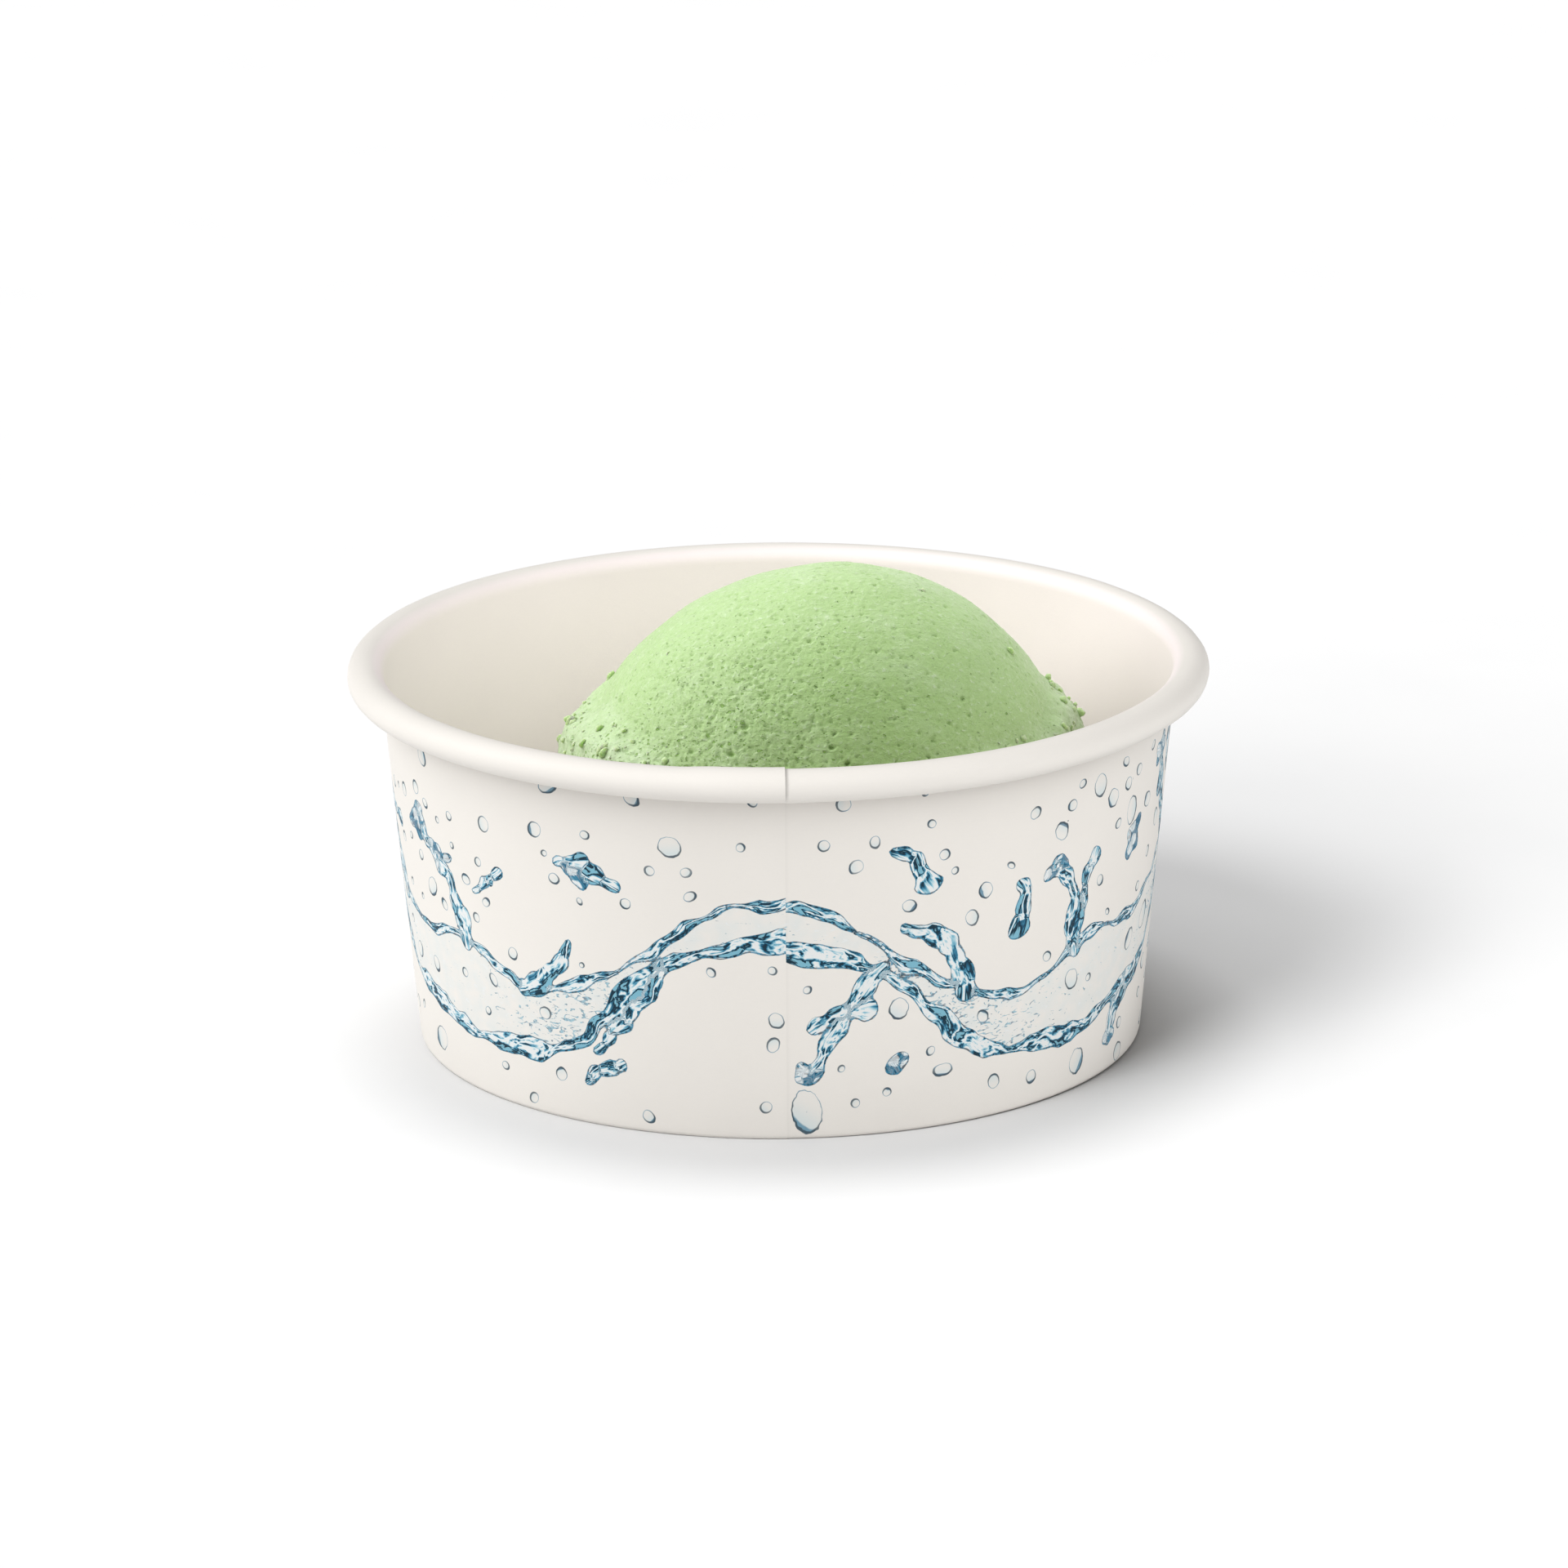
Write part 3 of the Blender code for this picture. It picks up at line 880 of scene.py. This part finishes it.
for way, size, flat, tilt, depth in pits:
    aside = np.cross((0, 0, 1), way)
    aside /= np.linalg.norm(aside) + 1e-9
    above = np.cross(way, aside)
    near = np.nonzero(ways @ way > math.cos(2.2 * size / SCOOP_RADIUS))[0]
    off = ways[near] * SCOOP_RADIUS
    level, rise = off @ aside, off @ above
    turn_x, turn_y = math.cos(tilt), math.sin(tilt)
    level, rise = level * turn_x + rise * turn_y, rise * turn_x - level * turn_y
    out = np.hypot(level / size, rise / (size * flat)) * ragged[near]
    strength = min(size / PIT_FULL, 1.0)
    dent = 1 - ease(0.35, 1.05, out)
    pit_depth[near] = np.maximum(pit_depth[near], dent * depth * strength)
    ridge = np.exp(-((out - 1.25) / 0.25) ** 2) * (rise < 0.2 * size)
    pit_ridge[near] = np.maximum(pit_ridge[near], ridge * strength)
airy = np.full(len(ways), 0.35)
for way in AIRY_WAYS:
    airy += 0.65 * np.exp(-((ways - way) ** 2).sum(1) / 0.30)
level = SCOOP_CENTRE.z + ways[:, 2] * SCOOP_RADIUS
pit_depth *= ease(*PITS_FROM, level)
pit_ridge *= ease(*PITS_FROM, level)
reach += ease(*ROUGH_FROM, level) * ((0.00002 + 0.00005 * airy) * grain + 0.00016 * torn * tears
                                     + 0.00006 * pit_ridge - 0.00054 * pit_depth)
airy += 0.30 * torn
torn *= 0.35 + 0.65 * ease(*TORN_FROM, level)
# Away from the front the sorbet is painted paler. This is painted sheen on its sides and top, and
# leaving the front darker is painted shade there. It is added to the paler frost of the torn collar.
painted_sheen = 1 - np.exp(-((ways - PAINTED_SHADE_WAY) ** 2).sum(1) / 0.50)
frost = torn + 0.55 * painted_sheen * ease(*PAINTED_SHEEN_FROM, level)
down = ways[:, 2] < -1e-6
reach[down] = np.minimum(reach[down], (SCOOP_CENTRE.z - SCOOP_FLOOR) / -ways[down, 2])
places = np.array(SCOOP_CENTRE) + ways * reach[:, None]
places[:, 0] += SCOOP_LEAN * ways[:, 2]
for vertex, place in zip(ball.verts, places):
    vertex.co = place
scoop_mesh = bpy.data.meshes.new("sorbet_ball")
ball.to_mesh(scoop_mesh)
ball.free()
scoop_mesh.shade_smooth()
# The pits' depth is kept so that they can be painted darker: painted shade in the hollows.
for name, values in (("pit", pit_depth), ("frost", frost), ("airy", airy)):
    keep(scoop_mesh, name, values)


def holes(place, scale, room):
    """Small round air holes of different sizes in a surface: 1 within them."""
    bubbles = wire(place.id_data, "ShaderNodeTexVoronoi", {"Vector": place, "Scale": scale})
    size = wire(place.id_data, "ShaderNodeSeparateColor", (bubbles.outputs["Color"],)).outputs[0]
    size = linear(size, 0.50, linear(room, 0.36, -0.46))
    return ramp(0.01, -0.05, maths("SUBTRACT", bubbles.outputs["Distance"], size))


def sorbet_group():
    """Frozen sorbet: fine icy grain, paler frost in patches, kept frost with a painted sheen, and tiny
    air holes painted darker as painted shade.
    """
    tree, given = new_tree("sorbet_grain", "ShaderNodeTree",
                           (("Place", "Vector"), ("Pit", "Float", 0.0), ("Airy", "Float", 0.4),
                            ("Frost", "Float", 0.0)), SURFACE)
    place = given["Place"]
    flat = wire(tree, "ShaderNodeMapping", {"Vector": place, "Scale": (1.0, 1.0, 1.5)}).outputs[0]
    clouds = speckle(place, 170.0, 3.0, 0.6)
    grain = speckle(flat, 1500.0, 3.0, 0.65, 0.3)
    bent = wire(tree, "ShaderNodeTexNoise", {"Vector": place, "Scale": 1500.0, "Detail": 1.0})
    bent = vectors("ADD", flat, vectors("SCALE", bent.outputs["Color"], 0.0008))
    hole = maths("MAXIMUM", holes(bent, 1250.0, given["Airy"]),
                 times(holes(bent, 2300.0, given["Airy"]), 0.8))
    # The kept frost, painted sheen included, and cloudy patches of frost pale the colour.
    frost = linear(ramp(0.48, 0.70, clouds), 0.16, times(given["Frost"], 0.34))
    colour = mixed(frost, SORBET_COLOUR, SORBET_FROST_AND_SHEEN)
    colour = mixed(times(ramp(0.56, 0.72, grain), 0.50), colour, SORBET_FROST_AND_SHEEN)
    # The grain's dark flecks are the sorbet's own. The air holes and the pits are painted darker, as
    # painted shade in their hollows.
    for share, strength in ((ramp(0.46, 0.30, grain), 0.30), (hole, 0.90), (given["Pit"], 0.95)):
        colour = mixed(times(share, strength), colour, SORBET_SHADE)
    wet = ramp(0.60, 0.68, speckle(place, 1300.0, 1.0))
    wire(tree, "NodeGroupOutput", {"Colour": colour, "Roughness": linear(wet, -0.32, 0.64),
                                   "Height": linear(hole, -1.5, grain)})
    return tree


sorbet_grain = sorbet_group()
green_sorbet, grain_node, _ = surface_material("green_sorbet", sorbet_grain, SORBET_RELIEF,
                                               {**SORBET_SHINE, "Subsurface Weight": 0.15})
feed(grain_node, {name: kept(green_sorbet.node_tree, name.lower()) for name in ("Pit", "Airy", "Frost")})
scoop_mesh.materials.append(green_sorbet)
on_cup("sorbet_ball", scoop_mesh, "sorbet", "sorbet_scoop")

# Crumbs of sorbet that the scoop's edge broke off cling to the collar, with a few on the ball.
# A tree of Geometry Nodes scatters them over the ball's mesh, lumpy and all of different sizes.
CRUMBS = 420
CRUMB_RADIUS = 0.00042
CRUMB_SEED = 5
CRUMB_FROST = 0.8
CRUMB_SOFTNESS = 0.7


def drawn(tree, kind, low, high, seed):
    """A number or a vector drawn at random between two others for each crumb."""
    first = 2 if kind == "FLOAT" else 0
    made = wire(tree, "FunctionNodeRandomValue", {first: low, first + 1: high, "Seed": seed},
                data_type=kind)
    return made.outputs[first // 2]


def crumb_tree():
    """Geometry Nodes that set lumpy crumbs on a surface, most where it is torn."""
    tree, given = new_tree("scattered_crumbs", "GeometryNodeTree",
                           (("Surface", "Geometry"), ("Density", "Float"), ("Radius", "Float"),
                            ("Seed", "Int"), ("Crumb", "Material")), (("Crumbs", "Geometry"),))
    torn_here = wire(tree, "GeometryNodeInputNamedAttribute", {"Name": "crumb_room"},
                     data_type="FLOAT").outputs[0]
    dots = wire(tree, "GeometryNodeDistributePointsOnFaces",
                {"Mesh": given["Surface"], "Density": times(torn_here, given["Density"]),
                 "Seed": given["Seed"]}, distribute_method="RANDOM")
    lump = wire(tree, "GeometryNodeMeshIcoSphere", {"Radius": given["Radius"], "Subdivisions": 2})
    turn = drawn(tree, "FLOAT_VECTOR", (0, 0, 0), (6.3, 6.3, 6.3), 1)
    size = maths("POWER", drawn(tree, "FLOAT", 0.45, 1.25, 2), 1.6)
    shape = drawn(tree, "FLOAT_VECTOR", (0.7, 0.7, 0.6), (1.3, 1.2, 1.0), 3)
    placed = wire(tree, "GeometryNodeInstanceOnPoints",
                  {"Points": dots.outputs["Points"], "Instance": lump.outputs["Mesh"], "Rotation": turn,
                   "Scale": vectors("SCALE", shape, size)})
    real = wire(tree, "GeometryNodeRealizeInstances", {0: placed.outputs[0]})
    here = wire(tree, "GeometryNodeInputPosition").outputs[0]
    rough = wire(tree, "ShaderNodeTexNoise", {"Vector": here, "Scale": 2400.0, "Detail": 2.0})
    shift = vectors("ADD", rough.outputs["Color"], (-0.5, -0.5, -0.5))
    shift = vectors("SCALE", shift, times(given["Radius"], 1.7))
    lumpy = wire(tree, "GeometryNodeSetPosition", {"Geometry": real.outputs[0], "Offset": shift})
    return ended(tree, lumpy, given["Crumb"])


bed = scoop_mesh.copy()
level = places[:, 2]
room = torn * ease(0.030, 0.033, level) * (1 - ease(0.0395, 0.041, level))
keep(bed, "crumb_room", room + 0.012 * ease(0.040, 0.043, level))
crumb_sorbet, grain_node, _ = surface_material("sorbet_crumb", sorbet_grain, SORBET_RELIEF,
                                               {**SORBET_SHINE, "Subsurface Weight": CRUMB_SOFTNESS})
feed(grain_node, {"Frost": CRUMB_FROST})
collar_area = math.tau * SCOOP_RADIUS * 0.008
crumb_mesh = grown(put("crumb_bed", bed), crumb_tree(), "sorbet_crumbs", Density=CRUMBS / collar_area,
                   Radius=CRUMB_RADIUS, Seed=CRUMB_SEED, Crumb=crumb_sorbet)
on_cup("sorbet_crumbs", crumb_mesh, "sorbet")

# A plain pale table before white, in soft studio light. A faint even light fills the room. Each lamp
# lights one thing alone: the paper mostly from the left, its bottom also from above, the sorbet from
# both sides and from behind, the table from the front and left, which throws the shadow to the right
# and back, and from above.
# For each lamp: its strength, how wide it looks and where it stands, from the front towards the
# left and from the table upwards, in degrees, and what it lights.
FLOOR_REACH = 4.0
FLOOR_PALE = (0.500, 0.500, 0.502, 1)
FLOOR_PALER = (0.520, 0.520, 0.520, 1)
ROOM_LIGHT = 0.30
LAMPS = (
    ("paper_left", 2.35, 50, 90, 35, "paper"),
    ("paper_front", 1.0, 50, 0, 40, "paper"),
    ("paper_right", 1.2, 50, -60, 35, "paper"),
    ("bottom_above", 1.7, 40, 0, 84, "bottom"),
    ("sorbet_left", 2.85, 60, 92, 32, "sorbet"),
    ("sorbet_right", 1.6, 50, -95, 28, "sorbet"),
    ("sorbet_back", 1.7, 50, 150, 50, "sorbet"),
    ("table_low", 2.0, 24, 38, 25, "table"),
    ("table_front", 1.55, 24, 38, 48, "table"),
    ("table_left", 1.1, 24, 55, 48, "table"),
    ("table_top_lamp", 1.85, 24, 180, 80, "table"),
    ("table_side_lamp", 0.7, 30, 100, 72, "table"))
floor_mesh = bpy.data.meshes.new("table_top")
corners = ((-1, -1), (1, -1), (1, 1), (-1, 1))
floor_mesh.from_pydata([(x * FLOOR_REACH, y * FLOOR_REACH, 0) for x, y in corners], [], [(0, 1, 2, 3)])
floor_white = bpy.data.materials.new("table_white")
floor_white.use_nodes = True
floor_tree = floor_white.node_tree
floor_place = wire(floor_tree, "ShaderNodeTexCoord").outputs["Object"]
floor_tone = mixed(speckle(floor_place, 40.0), FLOOR_PALE, FLOOR_PALER)
feed(floor_tree.nodes["Principled BSDF"],
     {"Base Color": floor_tone, "Roughness": 0.9, "Specular IOR Level": 0.1})
floor_mesh.materials.append(floor_white)
put("table_top", floor_mesh)
room = bpy.data.worlds.new("room")
room.use_nodes = True
seen = wire(room.node_tree, "ShaderNodeLightPath").outputs["Is Camera Ray"]
brightness = linear(seen, 1.0 - ROOM_LIGHT, ROOM_LIGHT)
feed(room.node_tree.nodes["Background"], {"Color": (1.0, 1.0, 1.0, 1), "Strength": brightness})
bpy.context.scene.world = room
lit_things = {"paper": ("cup_bottom", "cup_side"), "bottom": ("cup_bottom",),
              "sorbet": ("sorbet_ball", "sorbet_crumbs"), "table": ("table_top",)}
for name, power, width, side, rise, lights in LAMPS:
    lamp = bpy.data.lights.new(name, "SUN")
    lamp.energy = power
    lamp.angle = math.radians(width)
    hung = put(name, lamp)
    side, rise = math.radians(side), math.radians(rise)
    away = Vector((math.sin(side) * math.cos(rise), math.cos(side) * math.cos(rise), -math.sin(rise)))
    hung.rotation_mode = "QUATERNION"
    hung.rotation_quaternion = away.to_track_quat("-Z", "Y")
    lit = bpy.data.collections.new(name + "_lights")
    for thing in lit_things[lights]:
        lit.objects.link(bpy.data.objects[thing])
    hung.light_linking.receiver_collection = lit
bpy.context.scene.view_settings.view_transform = "Standard"

# The camera stands where the photograph's did: level with the front, a little above the rim.
CAMERA_DISTANCE = 0.8803
CAMERA_ELEVATION = math.radians(17.26)
CAMERA_ROLL = math.radians(0.497)
CAMERA_LEVEL = 0.0217
CAMERA_AIM = Vector((0.00063, 0.0, CAMERA_LEVEL))
CAMERA_RAISE = 0.0059
SENSOR_WIDTH = 36.0
FOCAL_LENGTH = 180.1
CLIP_START = 0.01
CLIP_END = 50.0
backwards = Vector((0.0, -math.cos(CAMERA_ELEVATION), math.sin(CAMERA_ELEVATION)))
upwards = Vector((0.0, math.sin(CAMERA_ELEVATION), math.cos(CAMERA_ELEVATION)))
lens = bpy.data.cameras.new("camera")
lens.sensor_width = SENSOR_WIDTH
lens.lens = FOCAL_LENGTH
lens.clip_start = CLIP_START
lens.clip_end = CLIP_END
camera = put("camera", lens)
stand = Vector((0.0, 0.0, CAMERA_LEVEL)) + backwards * CAMERA_DISTANCE
aim = (CAMERA_AIM + upwards * CAMERA_RAISE - stand).normalized()
camera.location = stand
camera.rotation_mode = "QUATERNION"
camera.rotation_quaternion = aim.to_track_quat("-Z", "Y") @ Quaternion((0.0, 0.0, 1.0), -CAMERA_ROLL)
bpy.context.scene.camera = camera
